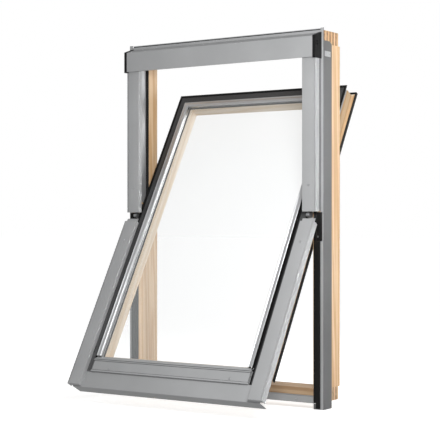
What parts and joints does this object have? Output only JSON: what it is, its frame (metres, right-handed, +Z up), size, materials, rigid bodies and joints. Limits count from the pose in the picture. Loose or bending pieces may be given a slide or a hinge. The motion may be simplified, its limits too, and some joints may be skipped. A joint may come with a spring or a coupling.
{
  "type": "roof window",
  "caption": "Centre-pivot roof window: pine frame and glazed pine sash, standing open, with folded grey aluminium claddings, covers, apron and top casing.",
  "frame": {"origin": "centre of the underside of the wooden frame, halfway through the depth of its jambs", "axes": "+Z up the window, from the sill to the head; +Y from the weather side into the room; +X to the right seen from outside"},
  "size_m": [0.7832, 0.6431, 1.21],
  "materials": {
    "pine": "clear-varnished laminated pine, satin",
    "grey_cladding": "folded aluminium sheet, matt mid-grey coating",
    "mill_aluminium": "natural anodised aluminium, satin",
    "dark_profile": "dark grey coated profile, matt",
    "seal_rubber": "black extruded rubber, matt",
    "black_plastic": "black moulded plastic, matt",
    "glass": "clear sealed double glazing",
    "steel": "zinc-plated steel"
  },
  "bodies": {
    "frame": {"jamb_left": "pine", "jamb_right": "pine", "head": "pine", "sill": "pine", "head_stop": "pine", "side_cladding_left": "grey_cladding", "side_cladding_right": "grey_cladding", "head_cladding": "grey_cladding", "sill_cladding": "grey_cladding", "head_seal": "seal_rubber", "head_lip": "mill_aluminium", "hood": "grey_cladding", "hood_cap_left": "black_plastic", "hood_cap_right": "black_plastic", "upper_cover_left": "grey_cladding", "upper_cover_right": "grey_cladding", "frame_gasket_left": "seal_rubber", "frame_gasket_right": "seal_rubber", "inner_gasket_left": "seal_rubber", "inner_gasket_right": "seal_rubber", "jamb_strip_left": "mill_aluminium", "jamb_strip_right": "mill_aluminium", "hinge_plate_left": "steel", "hinge_plate_right": "steel", "pivot_pin_left": "steel", "pivot_pin_right": "steel", "hinge_cap_left": "black_plastic", "hinge_cap_right": "black_plastic", "blank_plate": "mill_aluminium", "latch_keeper": "steel", "frame_screws": "steel"},
    "sash": {"stile_left": "pine", "stile_right": "pine", "top_rail": "pine", "bottom_rail": "pine", "outer_pane": "glass", "inner_pane": "glass", "pane_spacer": "steel", "inner_glazing_gasket": "seal_rubber", "outer_glazing_gasket": "seal_rubber", "glazing_profile_left": "mill_aluminium", "glazing_profile_right": "mill_aluminium", "glazing_profile_top": "mill_aluminium", "glazing_profile_bottom": "grey_cladding", "edge_profile_left": "dark_profile", "edge_profile_right": "dark_profile", "edge_profile_top": "dark_profile", "sash_gasket": "seal_rubber", "flange_seal": "seal_rubber", "lower_cover_left": "grey_cladding", "lower_cover_right": "grey_cladding", "apron": "grey_cladding", "cover_clips": "black_plastic", "hinge_arm_left": "steel", "hinge_arm_right": "steel", "sash_screws": "steel", "handle_rose": "steel"},
    "handle": {"handle_lever": "steel", "handle_spindle": "steel"},
    "latch": {"latch_bolt": "steel"}
  },
  "joints": [
    {"name": "sash_pivot", "type": "hinge", "parent": "frame", "child": "sash", "pos_m": [0, -0.074, 0.594], "axis": [-1, 0, 0], "range_deg": [-29.5, 105.5]},
    {"name": "handle_turn", "type": "hinge", "parent": "sash", "child": "handle", "pos_m": [0, -0.2624, 0.09854], "axis": [0, -0.8704, 0.4924], "range_deg": [0, 90]},
    {"name": "latch_slide", "type": "slide", "parent": "sash", "child": "latch", "axis": [0, -0.4924, -0.8704], "range_m": [0, 0.0141]}
  ],
  "couplings": [
    {"joint": "latch_slide", "follows": "handle_turn", "m_per_rad": 0.0089}
  ]
}
